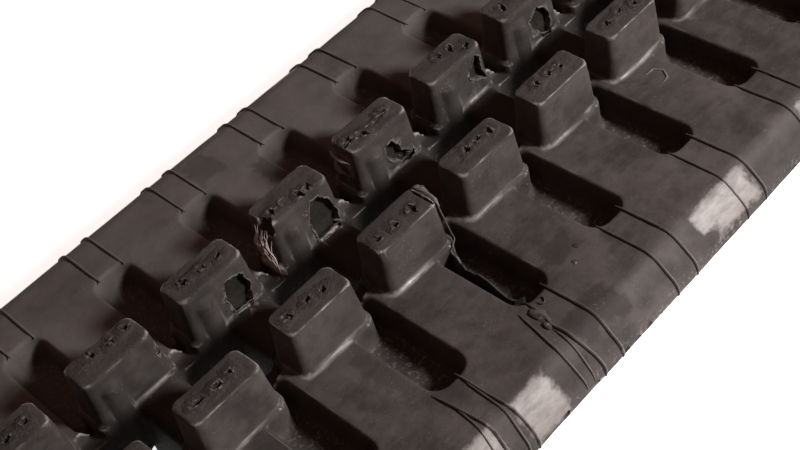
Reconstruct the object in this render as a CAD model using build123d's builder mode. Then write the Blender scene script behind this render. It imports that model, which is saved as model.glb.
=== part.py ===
import os
from math import radians, tan

from build123d import *

# A straight length of a moulded rubber track for a small excavator, lying on its tread.
# +X runs along the track, +Z from the tread up to the guide lugs, and the origin is on
# the ground under the middle. All sizes are in millimetres.

# Belt
link_pitch = 48.0
link_count = 10
belt_width = 230.0
carcass_thickness = 25.0
bevel_drop = 10.5
bevel_inset = 11.0
side_height = 6.0
side_draft = 1.5
undercut_inset = 8.0

# Tread bars under the belt, one long and one short in each link
tread_height = 20.0
tread_bar_width = 20.0
tread_bar_overrun = 22.0
tread_bar_gap = 16.0
tread_end_margin = 10.0
tread_end_slope = 40.0
tread_edge_chamfer = 1.5

# Pockets between the raised lands, on both sides of the lugs
pocket_width = 19.0
pocket_depth = 12.5
pocket_reach = 79.0
pocket_setback = 0.9
pocket_start = 20.0
pocket_corner = 8.0
pocket_draft = 10.0
land_edge_chamfer = 1.2

# Guide lugs: each link has two, set off from its middle in opposite directions
lug_height = 23.5
lug_length = 33.0
lug_width = 15.6
lug_spacing = 32.0
lug_offset = 7.3
lug_draft = 4.0
lug_corner = 4.0
lug_top_chamfer = 1.0

# Row of small holes in each lug's top, left by the pins that hold the core in the mould
pin_hole_count = 3
pin_hole_spacing = 9.0
pin_hole_diameter = 2.8
pin_hole_depth = 1.8
pin_hole_sides = 6

# Round boss at the window side of each lug
boss_offset = 15.0
boss_radius = 5.5
boss_reach = 2.0
boss_top_margin = 4.0

# Sprocket windows and the rounded bridges between them
window_length = 27.0
window_corner = 5.0
bridge_round = 5.0

# Thin ribs from the pockets' corners over the belt's edges
rib_spacing = 12.8
rib_setback = 2.6
rib_width = 2.0
rib_height = 0.9

# Steel core of a link
core_cover = 2.6
horn_length = 22.5
horn_top_cover = 3.0
bridge_cover = 1.5
bridge_bar_width = 15.0
bridge_bar_depth = 10.0
bridge_bar_chamfer = 2.0
core_wing_span = 164.0
core_wing_root = 19.0
core_wing_tip = 14.0
core_wing_thickness = 9.0
core_wing_drop = 3.5

# Torn openings at the far end of some lugs' inner faces, where the steel shows.
# Each outline is in the plane of the lug's inner face: along the track from the middle
# of the link, and up from the lands.
tear_outlines = {
    3: [(-2.1, 16.2), (3.2, 13.4), (5.9, 7.2), (2.6, 0.8), (-3.6, 3.2), (-5.1, 9.6)],
    4: [(-3.0, 19.3), (3.1, 14.0), (7.0, 1.2), (4.0, 0.6), (-4.5, 0.8), (-7.0, 6.6), (-7.6, 13.6)],
    5: [(-3.6, 14.3), (0.2, 7.2), (4.8, 2.2), (-2.9, 2.1), (-6.8, 5.4), (-8.3, 13.5)],
    6: [(3.5, 20.0), (6.5, 18.0), (5.5, 11.6), (7.5, 5.0), (-1.7, 10.1), (-2.1, 13.3)],
    7: [(-2.7, 17.3), (3.9, 12.2), (5.0, 4.6), (1.9, 1.1), (-5.9, 4.9), (-8.7, 13.1)],
}
worn_bridges = [3, 4, 5, 7]
worn_length = 11.0
worn_width = 5.0

# A rounded corner is three flats: each cut is a share of the corner's radius
corner_cut = 0.59
corner_recut = 0.2

# Levels and places that follow from the sizes
belt_length = link_pitch * link_count
belt_edge = belt_width / 2
carcass_bottom = tread_height
land_top = carcass_bottom + carcass_thickness
pocket_floor = land_top - pocket_depth
lug_top = land_top + lug_height
undercut_height = carcass_thickness - bevel_drop - side_height
bevel_foot = belt_edge - side_draft
land_edge = bevel_foot - bevel_inset
lug_middle = (lug_spacing + lug_width) / 2
draft_slope = tan(radians(lug_draft))
lug_inner_foot = lug_spacing / 2 - lug_height * draft_slope
window_width = 2 * lug_inner_foot
bridge_bar_top = land_top - bridge_cover
core_wing_top = bridge_bar_top - core_wing_drop
horn_top = lug_top - horn_top_cover
link_middles = [(index - (link_count - 1) / 2) * link_pitch for index in range(link_count)]
link_joints = [(index - link_count / 2) * link_pitch for index in range(link_count + 1)]
tread_turns = [180 * (index % 2) for index in range(link_count)]

os.makedirs("parts", exist_ok=True)


def upright_faces(piece):
    """The faces of a piece that stand straight up."""
    return piece.faces().filter_by(lambda face: abs(face.normal_at().Z) < 0.01)


# Belt section: flat lands, bevelled shoulders, short upright sides, and an undercut below
with BuildSketch(Plane.YZ) as belt_section:
    with BuildLine():
        Polyline(
            (0, carcass_bottom),
            (belt_edge - undercut_inset, carcass_bottom),
            (belt_edge, carcass_bottom + undercut_height),
            (bevel_foot, land_top - bevel_drop),
            (land_edge, land_top),
            (0, land_top),
        )
        mirror(about=Plane.YZ)
    make_face()

# Ribs on the +Y side: the belt's own section grown by their height, from the pocket's end outwards
with BuildSketch(Plane.YZ) as rib_section:
    add(belt_section.sketch_local)
    offset(amount=rib_height, kind=Kind.INTERSECTION)
    with Locations((pocket_reach, carcass_bottom + undercut_height)):
        Rectangle(belt_width, carcass_thickness, align=(Align.MIN, Align.MIN), mode=Mode.INTERSECT)

with BuildPart() as rib:
    extrude(rib_section.sketch, amount=rib_width / 2, both=True)

# Pocket cutter on the +Y side: rounded outer end, drafted walls, a broken edge at the mouth
with BuildSketch(Plane.XY.offset(land_top)) as pocket_mouth:
    with Locations((pocket_setback, (pocket_start + pocket_reach) / 2)):
        Rectangle(pocket_width, pocket_reach - pocket_start)
    chamfer(pocket_mouth.vertices(), pocket_corner * corner_cut)
    chamfer(pocket_mouth.vertices(), pocket_corner * corner_recut)

with BuildPart() as pocket_flare:
    with BuildSketch(Plane.XY.offset(land_top)):
        add(pocket_mouth.sketch_local)
        offset(amount=land_edge_chamfer, kind=Kind.INTERSECTION)
    extrude(amount=-land_edge_chamfer)
    draft(upright_faces(pocket_flare), Plane.XY.offset(land_top), -45)

with BuildPart() as pocket_cutter:
    add(pocket_mouth.sketch)
    extrude(amount=-pocket_depth)
    draft(upright_faces(pocket_cutter), Plane.XY.offset(land_top), -pocket_draft)
    add(pocket_flare.part)

# Guide lug on the -Y side of a link, from its top down to the level of the pocket's floor
with BuildPart() as guide_lug:
    with BuildSketch(Plane.XY.offset(lug_top)) as lug_outline:
        with Locations((lug_offset, -lug_middle)):
            Rectangle(lug_length, lug_width)
        chamfer(lug_outline.vertices(), lug_corner * corner_cut)
        chamfer(lug_outline.vertices(), lug_corner * corner_recut)
    extrude(amount=-(lug_height + pocket_depth))
    draft(upright_faces(guide_lug), Plane.XY.offset(lug_top), lug_draft)
    chamfer(guide_lug.faces().sort_by(Axis.Z)[-1].edges(), lug_top_chamfer)
    with BuildSketch(Plane.XY.offset(lug_top)):
        with Locations((lug_offset, -lug_middle)):
            with GridLocations(pin_hole_spacing, 0, pin_hole_count, 1):
                RegularPolygon(pin_hole_diameter / 2, pin_hole_sides)
    extrude(amount=-pin_hole_depth, mode=Mode.SUBTRACT)

# Boss that runs down the lug's inner face into the window
with BuildPart() as lug_boss:
    boss_length = lug_top - boss_top_margin - carcass_bottom
    boss_foot = (boss_offset, -(lug_inner_foot - boss_reach + boss_radius), carcass_bottom)
    boss_head = (boss_offset, -(lug_spacing / 2 + boss_radius), carcass_bottom + boss_length)
    with BuildSketch(Plane(boss_foot, z_dir=Vector(boss_head) - Vector(boss_foot))):
        Circle(boss_radius)
    extrude(amount=boss_length)
    split(bisect_by=Plane.XY.offset(carcass_bottom), keep=Keep.TOP)

# Window cutter: straight through the belt, flared at the top so that the bridges are round
with BuildPart() as window_cutter:
    with BuildSketch(Plane.XY.offset(carcass_bottom)) as window_outline:
        Rectangle(window_length, window_width)
        chamfer(window_outline.vertices(), window_corner * corner_cut)
        chamfer(window_outline.vertices(), window_corner * corner_recut)
    extrude(amount=carcass_thickness)
    with BuildSketch(Plane.XZ):
        with BuildLine():
            flare_start = (window_length / 2, land_top - bridge_round)
            flare_end = (window_length / 2 + bridge_round, land_top)
            shoulder = RadiusArc(flare_start, flare_end, bridge_round)
            Line(shoulder @ 1, (0, land_top))
            Line((0, land_top), (0, land_top - bridge_round))
            Line((0, land_top - bridge_round), shoulder @ 0)
        make_face()
        mirror(about=Plane.YZ)
    extrude(amount=window_width / 2, both=True)

# Tread bars of one link: the long bar crosses the middle, the short one stands beyond a gap
with BuildPart() as tread_bars:
    bar_end = belt_edge - tread_end_margin
    bar_foot = bar_end - tread_height * tan(radians(tread_end_slope))
    with BuildSketch(Plane.YZ):
        with BuildLine():
            Polyline(
                (-bar_end, carcass_bottom),
                (tread_bar_overrun, carcass_bottom),
                (tread_bar_overrun, 0),
                (-bar_foot, 0),
                close=True,
            )
        make_face()
        with BuildLine():
            Polyline(
                (bar_end, carcass_bottom),
                (tread_bar_overrun + tread_bar_gap, carcass_bottom),
                (tread_bar_overrun + tread_bar_gap, 0),
                (bar_foot, 0),
                close=True,
            )
        make_face()
    extrude(amount=tread_bar_width / 2, both=True)
    chamfer(tread_bars.faces().filter_by(Plane.XY).group_by(Axis.Z)[0].edges(), tread_edge_chamfer)

# Steel core of one link: a bridge bar, two wings inside the lands and two horns inside the lugs
with BuildPart() as core_horn:
    with BuildSketch(Plane.XY.offset(horn_top)):
        with Locations((lug_offset - lug_length / 2 + core_cover, -lug_middle)):
            Rectangle(horn_length, lug_width - 2 * core_cover, align=(Align.MIN, Align.CENTER))
    extrude(amount=-(horn_top - core_wing_top + core_wing_thickness / 2))
    draft(upright_faces(core_horn), Plane.XY.offset(horn_top), lug_draft)

with BuildPart() as steel_core:
    with BuildSketch(Plane.XZ) as bar_section:
        with Locations((0, bridge_bar_top)):
            Rectangle(bridge_bar_width, bridge_bar_depth, align=(Align.CENTER, Align.MAX))
        chamfer(bar_section.vertices(), bridge_bar_chamfer)
    extrude(amount=lug_middle, both=True)
    with BuildSketch(Plane.XY.offset(core_wing_top)):
        with BuildLine():
            Polyline(
                (core_wing_root / 2, 0),
                (core_wing_root / 2, lug_middle),
                (core_wing_tip / 2, core_wing_span / 2),
                (-core_wing_tip / 2, core_wing_span / 2),
                (-core_wing_root / 2, lug_middle),
                (-core_wing_root / 2, 0),
            )
            mirror(about=Plane.XZ)
        make_face()
        Rectangle(2 * core_wing_root, 2 * lug_inner_foot, mode=Mode.SUBTRACT)
    extrude(amount=-core_wing_thickness)
    with PolarLocations(0, 2):
        add(core_horn.part)

# The moulded rubber, with the space of every core left in it
with BuildPart() as rubber_belt:
    extrude(belt_section.sketch, amount=belt_length / 2, both=True)
    with Locations(*[Location((x, 0, 0), (0, 0, turn)) for x, turn in zip(link_middles, tread_turns)]):
        add(tread_bars.part)
    with Locations(*[(x, 0, 0) for x in link_joints]):
        with PolarLocations(0, 2):
            with Locations(*[(rib_setback + side * rib_spacing / 2, 0, 0) for side in (-1, 1)]):
                add(rib.part)
    with Locations(*[(x, 0, 0) for x in link_joints]):
        with PolarLocations(0, 2):
            add(pocket_cutter.part, mode=Mode.SUBTRACT)
    with Locations(*[(x, 0, 0) for x in link_middles]):
        with PolarLocations(0, 2):
            add(guide_lug.part)
    with Locations(*[(x, 0, 0) for x in link_joints]):
        add(window_cutter.part, mode=Mode.SUBTRACT)
    with Locations(*[(x, 0, 0) for x in link_middles]):
        with PolarLocations(0, 2):
            add(lug_boss.part)
    Box(
        belt_length,
        2 * belt_width,
        lug_top,
        align=(Align.CENTER, Align.CENTER, Align.MIN),
        mode=Mode.INTERSECT,
    )
    with Locations(*[(x, 0, 0) for x in link_middles]):
        add(steel_core.part, mode=Mode.SUBTRACT)
    for link, outline in tear_outlines.items():
        with BuildSketch(Plane.XZ.offset(-lug_spacing / 2 - 2 * core_cover)):
            with BuildLine():
                Polyline(*[(link_middles[link] + x, land_top + z) for x, z in outline], close=True)
            make_face()
        extrude(amount=3 * core_cover, mode=Mode.SUBTRACT)
    with Locations(*[(link_middles[link], lug_inner_foot, bridge_bar_top) for link in worn_bridges]):
        Box(
            worn_length,
            worn_width,
            2 * bridge_cover,
            align=(Align.CENTER, Align.CENTER, Align.MIN),
            mode=Mode.SUBTRACT,
        )

rubber_belt.part.label = "rubber_belt"
export_step(rubber_belt.part, "parts/rubber_belt.step")

for number, x in enumerate(link_middles, start=1):
    core = steel_core.part.moved(Location((x, 0, 0)))
    core.label = f"steel_core_{number:02d}"
    export_step(core, f"parts/{core.label}.step")
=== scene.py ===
import math

import bpy
import numpy as np
from mathutils import Matrix, Vector


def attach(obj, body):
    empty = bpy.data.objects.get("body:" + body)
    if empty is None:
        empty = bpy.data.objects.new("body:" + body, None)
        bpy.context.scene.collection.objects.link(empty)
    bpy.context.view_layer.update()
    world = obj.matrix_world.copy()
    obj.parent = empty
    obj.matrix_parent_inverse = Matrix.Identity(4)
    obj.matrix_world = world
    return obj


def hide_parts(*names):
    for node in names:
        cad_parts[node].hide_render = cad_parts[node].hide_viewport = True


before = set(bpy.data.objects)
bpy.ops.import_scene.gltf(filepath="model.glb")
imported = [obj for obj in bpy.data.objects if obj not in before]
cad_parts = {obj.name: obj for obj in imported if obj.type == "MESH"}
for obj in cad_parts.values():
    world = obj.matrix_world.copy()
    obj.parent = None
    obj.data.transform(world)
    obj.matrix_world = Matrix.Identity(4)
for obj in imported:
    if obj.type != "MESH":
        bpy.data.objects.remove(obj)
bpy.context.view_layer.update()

# All shapes are worked out in millimetres, X along the track, and turned to metres at the end
mm = 0.001

links = {"pitch": 48.0, "count": 10}
linkMiddles = [(k - (links["count"] - 1) / 2) * links["pitch"] for k in range(links["count"])]
linkJoints = [(k - links["count"] / 2) * links["pitch"] for k in range(links["count"] + 1)]
halfLength = links["pitch"] * links["count"] / 2


# Small tools for closed shapes: a shape is its points and its faces

def loft(rings):
    # a closed shape through rings that all have the same number of points
    count = len(rings[0])
    points = np.concatenate(rings)
    faces = [list(range(count))[::-1], [len(points) - count + i for i in range(count)]]
    for r in range(len(rings) - 1):
        for i in range(count):
            j = (i + 1) % count
            a, b = r * count, (r + 1) * count
            faces.append([a + i, a + j, b + j, b + i])
    return points, faces


def outward(shape):
    # the same shape with its faces turned outwards
    points, faces = shape
    triangles = np.array([(face[0], face[i], face[i + 1]) for face in faces for i in range(1, len(face) - 1)])
    a, b, c = points[triangles[:, 0]], points[triangles[:, 1]], points[triangles[:, 2]]
    volume = np.einsum("ij,ij->", a, np.cross(b, c))
    return (points, faces) if volume > 0 else (points, [face[::-1] for face in faces])


def quarterTurn(steps=4, first=1):
    # the angles along a round edge
    return [step / steps * math.pi / 2 for step in range(first, steps + 1)]


def fullTurn(sides):
    return np.arange(sides) / sides * 2 * math.pi


def roundedRing(length, width, corner, z, steps=5):
    # a rectangle with round corners, counter-clockwise, around the origin
    corner = min(corner, length / 2 - 0.01, width / 2 - 0.01)
    points = []
    for quarter, (sx, sy) in enumerate([(1, 1), (-1, 1), (-1, -1), (1, -1)]):
        for step in range(steps + 1):
            angle = (quarter + step / steps) * math.pi / 2
            points.append((sx * (length / 2 - corner) + corner * math.cos(angle),
                           sy * (width / 2 - corner) + corner * math.sin(angle), z))
    return np.array(points)


def stack(length, width, corner, levels, cornerShare=1.0, steps=6):
    # a closed shape of round-cornered rings, given as level and growth
    return loft([roundedRing(length + 2 * grow, width + 2 * grow, corner + cornerShare * grow, z, steps)
                 for z, grow in levels])


def placed(shape, x=0.0, y=0.0, turned=False):
    # the shape moved, and turned half round about Z first where asked
    points, faces = shape
    points = points.copy()
    if turned:
        points[:, :2] *= -1
    points[:, 0] += x
    points[:, 1] += y
    return points, faces


def addObject(name, data):
    thing = bpy.data.objects.new(name, data)
    bpy.context.scene.collection.objects.link(thing)
    return thing


def makeThing(name, shapes):
    # one object from several closed shapes
    points, faces, start = [], [], 0
    for shape in shapes:
        shapePoints, shapeFaces = outward(shape)
        points.append(shapePoints)
        faces += [[start + i for i in face] for face in shapeFaces]
        start += len(shapePoints)
    mesh = bpy.data.meshes.new(name)
    mesh.from_pydata((np.concatenate(points) * mm).tolist(), [], faces)
    mesh.update()
    return addObject(name, mesh)


def triangleCount(thing):
    return sum(len(face.vertices) - 2 for face in thing.data.polygons)


def applyModifiers(thing):
    # the mesh as its modifiers make it, and then no modifiers
    bpy.context.view_layer.update()
    graph = bpy.context.evaluated_depsgraph_get()
    made = bpy.data.meshes.new_from_object(thing.evaluated_get(graph))
    old = thing.data
    thing.modifiers.clear()
    thing.data = made
    bpy.data.meshes.remove(old)


def combine(thing, other, operation):
    # an exact boolean of the two, after which only the first is left
    join = thing.modifiers.new(operation, "BOOLEAN")
    join.operation, join.solver, join.object = operation, "EXACT", other
    applyModifiers(thing)
    bpy.data.objects.remove(other)


def carve(thing, shapes):
    # the shapes cut out, in batches in which no shape comes near another
    while shapes:
        batch, rest = [], []
        for shape in shapes:
            low, high = shape[0].min(axis=0), shape[0].max(axis=0)
            clear = all((low > other[0].max(axis=0)).any() or (high < other[0].min(axis=0)).any()
                        for other in batch)
            (batch if clear else rest).append(shape)
        combine(thing, makeThing("cutter", batch), "DIFFERENCE")
        shapes = rest


def joinOn(thing, other):
    with bpy.context.temp_override(active_object=thing, object=thing, selected_objects=[thing, other],
                                   selected_editable_objects=[thing, other]):
        bpy.ops.object.join()


def roundOff(points, reaches, steps=5):
    # a line with each inner corner eased over the given reach
    points = [np.array(point, float) for point in points]
    made = [points[0]]
    for before, here, after, reach in zip(points, points[1:], points[2:], reaches):
        start = here + (before - here) / np.linalg.norm(before - here) * reach
        end = here + (after - here) / np.linalg.norm(after - here) * reach
        for t in np.linspace(0, 1, steps):
            made.append((1 - t) ** 2 * start + 2 * t * (1 - t) * here + t ** 2 * end)
    return np.array(made + [points[-1]])


def alongLine(points, step):
    # the same line with points an even step apart
    points = np.asarray(points, float)
    run = np.concatenate([[0], np.cumsum(np.linalg.norm(np.diff(points, axis=0), axis=1))])
    places = np.linspace(0, run[-1], max(3, int(run[-1] / step) + 1))
    return np.stack([np.interp(places, run, points[:, i]) for i in range(points.shape[1])], axis=1)


def lumps(points, size, seed):
    # smooth random heights between -1 and 1, with lumps of about the given size
    cell = np.asarray(points, float) / size
    base = np.floor(cell).astype(np.int64)
    part = cell - base
    part = part * part * (3 - 2 * part)
    total = np.zeros(len(cell))
    for corner in np.ndindex(2, 2, 2):
        key = (base + corner) @ np.array([73856093, 19349663, 83492791]) + seed * 7919
        key = (key ^ (key >> 13)) * 1274126177 & 0x7FFFFFFF
        key = (key ^ (key >> 11)) * 668265263 & 0x7FFFFFFF
        value = (key >> 8 & 0xFFFF) / 32767.5 - 1
        total += value * np.prod(np.where(corner, part, 1 - part), axis=1)
    return total


def strand(points, ups, halfWidth, height, sink, ends=0.3, sides=8, taper=3):
    # a bead along a line: half round above, sunk below, thinner over its first and last points
    points, ups = np.asarray(points, float), np.broadcast_to(np.asarray(ups, float), np.shape(points))
    ahead = np.gradient(points, axis=0)
    across = np.cross(ahead, ups)
    across /= np.linalg.norm(across, axis=1)[:, None]
    rings = []
    for i, (point, side, up) in enumerate(zip(points, across, ups)):
        fromEnd = min(i, len(points) - 1 - i)
        scale = min(1.0, ends + (1 - ends) * fromEnd / taper)
        ring = []
        for turn in fullTurn(sides):
            rise = height * math.sin(turn) if math.sin(turn) > 0 else sink * math.sin(turn)
            ring.append(point + scale * (side * halfWidth * math.cos(turn) + up * rise))
        rings.append(np.array(ring))
    return loft(rings)


def blob(centre, radii, rough, seed, rows=7, sides=12, lumpSize=0.55):
    # a lumpy ball
    rings = []
    for row in range(rows):
        tilt = (row + 0.5) / rows * math.pi
        rings.append(np.array([(math.sin(tilt) * math.cos(t), math.sin(tilt) * math.sin(t), -math.cos(tilt))
                               for t in fullTurn(sides)]))
    points, faces = loft(rings)
    points *= (1 + rough * lumps(points, lumpSize, seed))[:, None]
    return points * radii + centre, faces


# The belt's own body: section, pockets and windows

body = {"halfWidth": 115.0, "sideBottom": 28.5, "bevelFoot": 113.5, "bevelBottom": 34.5, "landEdge": 102.5,
        "landTop": 45.0, "bottom": 20.0, "bottomHalf": 107.0, "edgeReaches": (5.0, 2.2, 1.5)}


def edgeLine(inner):
    # the belt's section on the +Y side, from the land at the given place down to the underside
    b = body
    corners = [(inner, b["landTop"]), (b["landEdge"], b["landTop"]), (b["bevelFoot"], b["bevelBottom"]),
               (b["halfWidth"], b["sideBottom"]), (b["bottomHalf"], b["bottom"])]
    return roundOff(corners, b["edgeReaches"])


def beltBody():
    right = edgeLine(0.0)[1:][::-1]
    outline = [(y, z) for y, z in right] + [(-y, z) for y, z in right[::-1]]
    return loft([np.array([(x, y, z) for y, z in outline]) for x in (-halfLength, halfLength)])


pocket = {"width": 19.0, "start": 20.0, "reach": 78.4, "setback": 0.9, "depth": 12.5, "corner": 7.0,
          "draft": 10.0, "mouthRound": 1.2, "mouthShare": 0.8, "floorRound": 3.0,
          "over": [(3.0, 1.2), (0.2, 0.2)]}  # rings above the land: rise and growth


def pocketCutter():
    # a drafted slot with a round mouth and a round floor edge, on the +Y side
    p = pocket
    top, floor = body["landTop"], body["landTop"] - p["depth"]
    mouth, foot = p["mouthRound"], p["floorRound"]
    narrowed = (p["depth"] - foot) * math.tan(math.radians(p["draft"]))
    levels = [(top + rise, mouth + grow) for rise, grow in p["over"]]
    levels += [(top - mouth * math.sin(a), mouth * (1 - math.sin(a)) * p["mouthShare"]) for a in quarterTurn()]
    levels.append((floor + foot, -narrowed))
    levels += [(floor + foot * (1 - math.sin(a)), -narrowed - foot * (1 - math.cos(a))) for a in quarterTurn()]
    slot = stack(p["width"], p["reach"] - p["start"], p["corner"], levels[::-1])
    return placed(slot, x=p["setback"], y=(p["start"] + p["reach"]) / 2)


window = {"length": 27.0, "halfWidth": 14.35, "corner": 4.0, "bridgeRound": 7.0, "roundSteps": 6,
          "below": 2.0, "above": 3.0}


def windowCutter():
    # straight down through the belt, and flared at the top so that the bridges are round
    w = window
    arch = w["bridgeRound"]
    rings = [roundedRing(w["length"], 2 * w["halfWidth"], w["corner"], body["bottom"] - w["below"])]
    for angle in quarterTurn(w["roundSteps"], 0):
        rings.append(roundedRing(w["length"] + 2 * arch * (1 - math.cos(angle)), 2 * w["halfWidth"],
                                 w["corner"], body["landTop"] - arch + arch * math.sin(angle)))
    rings.append(rings[-1] + (0, 0, w["above"]))
    return loft(rings)


curb = {"top": 40.2, "length": 17.5, "middle": -7.3, "from": 12.6, "to": 21.6, "corner": 2.0,
        "wall": [(0.0, -1.5), (0.5, -0.6), (1.6, 0.0), (8.0, 0.4)]}  # rise and growth


def curbCutter():
    # lowers the rubber between a window and its pocket on the +Y side, where it is worn down
    c = curb
    levels = [(c["top"] + rise, grow) for rise, grow in c["wall"]]
    cut = stack(c["length"], c["to"] - c["from"], c["corner"], levels, 0.0, 5)
    return placed(cut, x=c["middle"], y=(c["from"] + c["to"]) / 2)


# Guide lugs with their bosses, and the tread bars

lug = {"length": 33.0, "width": 15.6, "offset": 7.3, "middle": 23.8, "top": 68.5, "highest": 68.9,
       "corner": 3.4, "cornerShare": 0.8, "draft": 4.0, "topRound": 1.0, "footFlare": 1.6,
       "underLand": (1.6, 0.1),  # depth and growth just under the land
       "pocketShade": [(2.4, 0.3), (0.6, 1.4), (-2.0, 2.2)]}  # rise over the pocket's floor, and growth
boss = {"place": 15.0, "sides": 20,
        "rings": [(20.0, 6.0, -17.9), (45.0, 5.7, -17.8), (61.0, 5.0, -17.7), (63.0, 3.9, -18.2),
                  (64.0, 1.8, -19.2)]}  # level, radius and place across
lugSlope = math.tan(math.radians(lug["draft"]))


def innerFace(z):
    # how far from the middle a lug's inner face stands at a level
    return lug["middle"] - lug["width"] / 2 - (lug["top"] - max(z, body["landTop"])) * lugSlope


def guideLug():
    # the lug on the -Y side, from its round top edge down to the pocket's floor
    g = lug
    land, floor = body["landTop"], body["landTop"] - pocket["depth"]
    levels = [(g["top"] - g["topRound"] * (1 - math.cos(a)), -g["topRound"] * (1 - math.sin(a)))
              for a in quarterTurn(first=0)]
    flareStart = land + g["footFlare"]
    drafted = (g["top"] - flareStart) * lugSlope
    levels.append((flareStart, drafted))
    levels += [(flareStart - g["footFlare"] * math.sin(a), drafted + g["footFlare"] * (1 - math.cos(a)))
               for a in quarterTurn()]
    below = levels[-1][1]
    levels.append((land - g["underLand"][0], below + g["underLand"][1]))
    levels += [(floor + rise, below + grow) for rise, grow in g["pocketShade"]]
    rings = []
    for z, grow in levels:
        ring = roundedRing(g["length"] + 2 * grow, g["width"] + 2 * grow,
                           g["corner"] + max(grow, 0) * g["cornerShare"], z, 6)
        ring[:, 1] = np.minimum(ring[:, 1], g["middle"] - innerFace(z))  # no flare into the window
        rings.append(ring)
    return placed(loft(rings[::-1]), x=g["offset"], y=-g["middle"])


def lugBoss():
    # half-round boss down the lug's inner face into the window, slimmer towards its top
    rings = [np.array([(radius * math.cos(t), y + radius * math.sin(t), z) for t in fullTurn(boss["sides"])])
             for z, radius, y in boss["rings"]]
    return placed(loft(rings), x=boss["place"])


tread = {"height": 20.0, "barWidth": 20.0, "overrun": 22.0, "gap": 16.0, "end": 105.0, "endSlope": 40.0,
         "edge": 1.5, "sunk": 4.0}


def treadBar(inner, outer, footOuter):
    # one bar across the underside, with a sloped outer end and broken lower edges
    t = tread
    rings = []
    for z, shrink in [(0.0, t["edge"]), (t["edge"], 0.0), (t["height"] + t["sunk"], 0.0)]:
        share = max(0.0, min(1.0, z / t["height"]))
        low, high = sorted((inner, footOuter + (outer - footOuter) * share))
        x = t["barWidth"] / 2 - shrink
        rings.append(np.array([(-x, low + shrink, z), (x, low + shrink, z),
                               (x, high - shrink, z), (-x, high - shrink, z)]))
    return loft(rings)


def treadBars():
    t = tread
    foot = t["end"] - t["height"] * math.tan(math.radians(t["endSlope"]))
    return [treadBar(t["overrun"], -t["end"], -foot), treadBar(t["overrun"] + t["gap"], t["end"], foot)]


# The moulded rubber in one closed skin

skin = {"voxel": 0.8, "quickVoxel": 1.3, "softening": 0.5, "smoothing": 2, "sharpAngle": 52,
        "triangles": 146000, "quickTriangles": 110000}
bothWays = (False, True)
seeds = {"wrinkle": 6, "fibre": 9, "bulge": (21, 22), "tear": 40, "bit": 50, "strip": 60, "flap": 77,
         "row": 100, "pit": 200, "rib": 500, "crumb": 1000}  # where each kind of random draw starts


def mouldBelt():
    blank = makeThing("moulded_rubber", [beltBody()])
    cutters = []
    for x in linkJoints:
        cutters += [placed(pocketCutter(), x=x, turned=turned) for turned in bothWays]
        cutters.append(placed(windowCutter(), x=x))
        cutters += [placed(curbCutter(), x=x, turned=turned) for turned in bothWays]
    carve(blank, cutters)
    print("body cut,", len(blank.data.polygons), "faces")

    added = []
    for number, x in enumerate(linkMiddles):
        for turned in bothWays:
            added += [placed(guideLug(), x=x, turned=turned), placed(lugBoss(), x=x, turned=turned)]
        added += [placed(bar, x=x, turned=number % 2 == 1) for bar in treadBars()]
    joinOn(blank, makeThing("lugs", added))

    merge = blank.modifiers.new("merge", "REMESH")
    merge.mode = "VOXEL"
    merge.voxel_size = skin["voxel"] * mm
    soften = blank.modifiers.new("soften", "SMOOTH")
    soften.factor, soften.iterations = skin["softening"], skin["smoothing"]
    applyModifiers(blank)
    print("skin merged,", len(blank.data.vertices), "vertices")
    return blank


def meshPoints(mesh):
    flat = np.empty(len(mesh.vertices) * 3, np.float32)
    mesh.vertices.foreach_get("co", flat)
    return flat.reshape(-1, 3).astype(float) / mm


def meshNormals(mesh):
    flat = np.empty(len(mesh.vertices) * 3, np.float32)
    mesh.vertex_normals.foreach_get("vector", flat)
    return flat.reshape(-1, 3).astype(float)


def setPoints(mesh, points):
    mesh.vertices.foreach_set("co", (points * mm).astype(np.float32).ravel())
    mesh.update()


weather = {
    # lumps are given by height, size and seed, all in millimetres
    "all": [(0.20, 26, 1), (0.09, 9, 2), (0.05, 3.2, 3)], "lugs": [(0.14, 6, 4), (0.07, 2.4, 5)],
    "torn": [(0.34, 1.7, 7), (0.20, 3.4, 8)], "lugsFrom": 50, "lugsOver": 10, "topsFrom": 67.0,
    "wrinkle": 0.22, "wrinkleWidth": 0.55, "wrinkleSize": 2.6, "wrinkleStretch": (0.45, 1, 1),
    "tornReach": 4.2, "tornFade": 2.5, "tornStretch": (0.8, 1.0), "sideLimit": 115.4,
}


def layered(points, layers):
    return sum(height * lumps(points, size, seed) for height, size, seed in layers)


def weatherBelt(thing):
    # uneven rubber all over, and rougher tops on the lugs
    w = weather
    mesh = thing.data
    p, n = meshPoints(mesh), meshNormals(mesh)
    push = layered(p, w["all"])
    push += np.clip((p[:, 2] - w["lugsFrom"]) / w["lugsOver"], 0, 1) * layered(p, w["lugs"])
    onTop = np.clip(p[:, 2] - w["topsFrom"], 0, 1)
    wrinkle = np.abs(lumps(p * w["wrinkleStretch"], w["wrinkleSize"], seeds["wrinkle"]))
    push -= onTop * w["wrinkle"] * np.clip(w["wrinkleWidth"] - wrinkle, 0, 1)
    tops = np.where(onTop > 0)[0]
    away = np.full(len(tops), np.inf)
    for x, y, _ in pitCentres():
        away = np.minimum(away, np.linalg.norm((p[tops, :2] - (x, y)) * w["tornStretch"], axis=1))
    push[tops] += np.clip((w["tornReach"] - away) / w["tornFade"], 0, 1) * layered(p[tops], w["torn"])
    p += n * push[:, None]
    for axis, low, high in ((0, -halfLength, halfLength), (1, -w["sideLimit"], w["sideLimit"]),
                            (2, 0, lug["highest"])):
        p[:, axis] = np.clip(p[:, axis], low, high)
    setPoints(mesh, p)


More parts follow.
